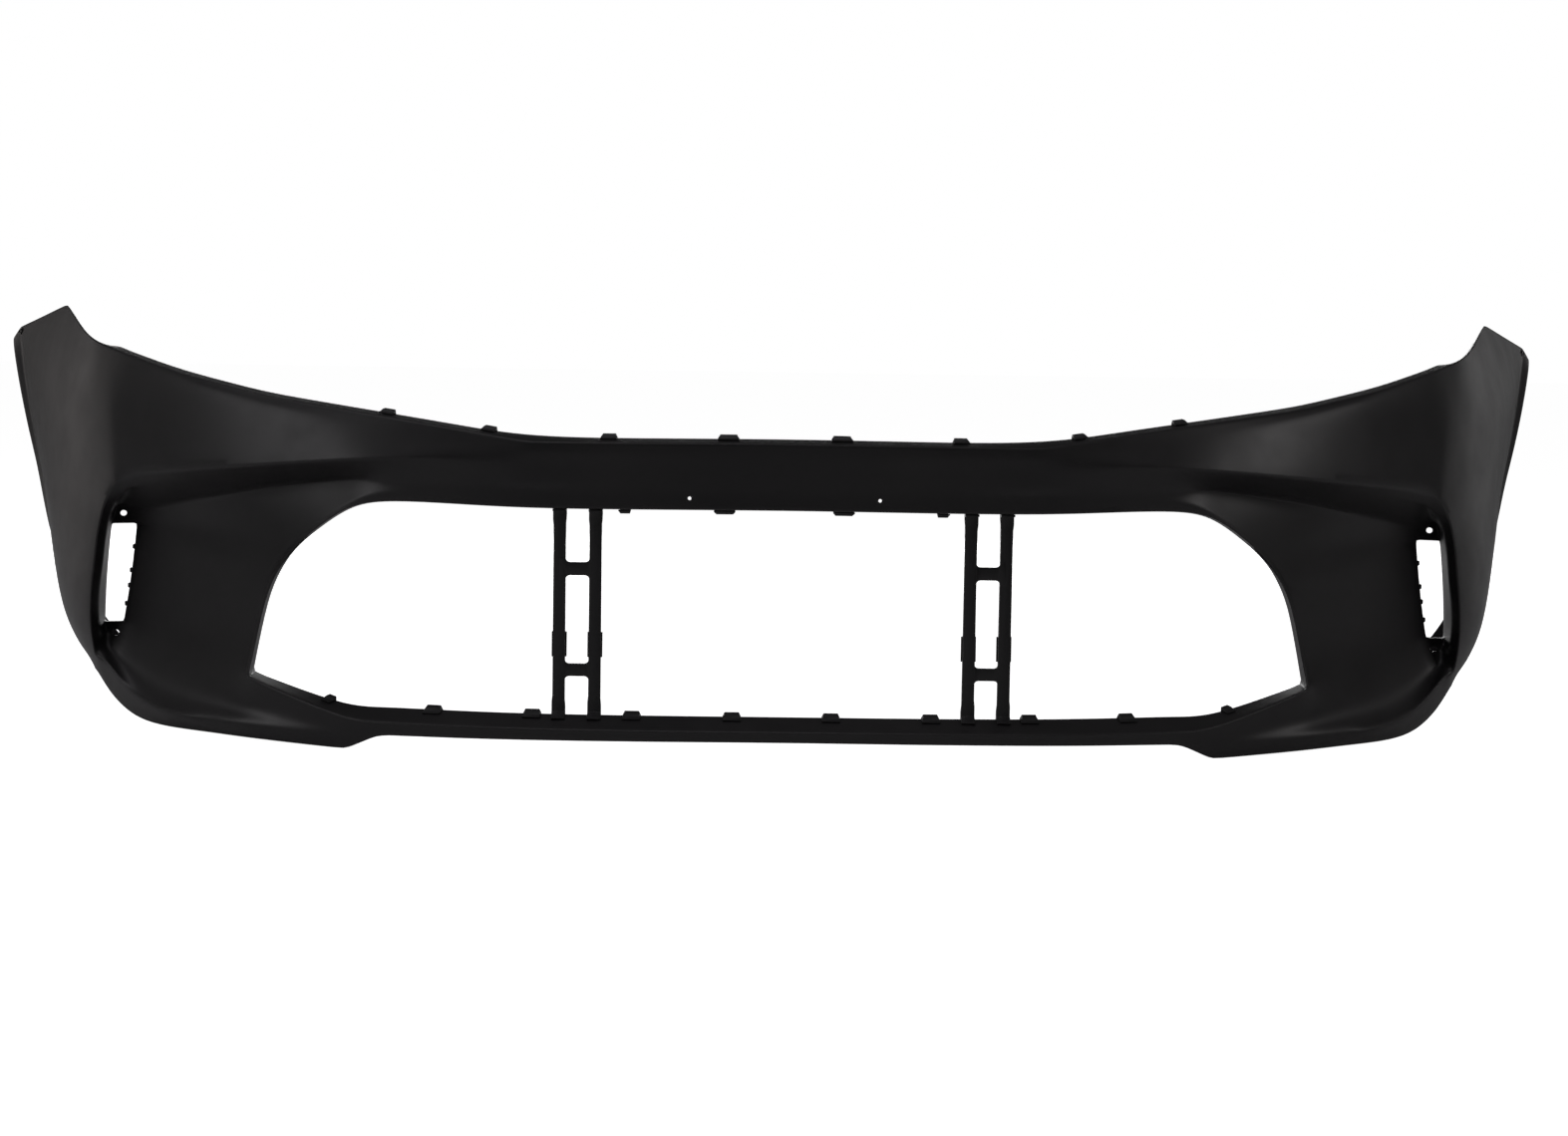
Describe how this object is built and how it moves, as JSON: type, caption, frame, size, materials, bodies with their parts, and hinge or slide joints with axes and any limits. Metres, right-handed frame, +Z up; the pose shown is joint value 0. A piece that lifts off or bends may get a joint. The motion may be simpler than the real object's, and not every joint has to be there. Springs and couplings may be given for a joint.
{
  "type": "front bumper cover",
  "caption": "Moulded front bumper cover shell with a grille opening, side scoops with air slots, ladder struts across the opening and clips along its flanges",
  "frame": {"origin": "bottom centre of the bounding box, on the mirror plane", "axes": "-Y is the front of the car, +X is to the right when looking at the front, +Z is up"},
  "size_m": [1.8448, 0.7208, 0.4568],
  "materials": {
    "shell": "unpainted satin black moulding",
    "strut": "satin black moulding",
    "clip": "matte black moulding"
  },
  "bodies": {
    "root": {"cover_shell": "shell", "ladder_strut_left": "strut", "ladder_strut_right": "strut", "top_clip_1": "clip", "top_clip_2": "clip", "top_clip_3": "clip", "top_clip_4": "clip", "top_clip_5": "clip", "top_clip_6": "clip", "top_clip_7": "clip", "top_clip_8": "clip", "lip_clip_1": "clip", "lip_clip_2": "clip", "lip_clip_3": "clip", "lip_clip_4": "clip", "lip_clip_5": "clip", "lip_clip_6": "clip", "lip_clip_7": "clip", "lip_clip_8": "clip", "lip_clip_9": "clip", "lip_clip_10": "clip", "band_clip_1": "clip", "band_clip_2": "clip", "band_clip_3": "clip", "band_clip_4": "clip"}
  },
  "joints": []
}
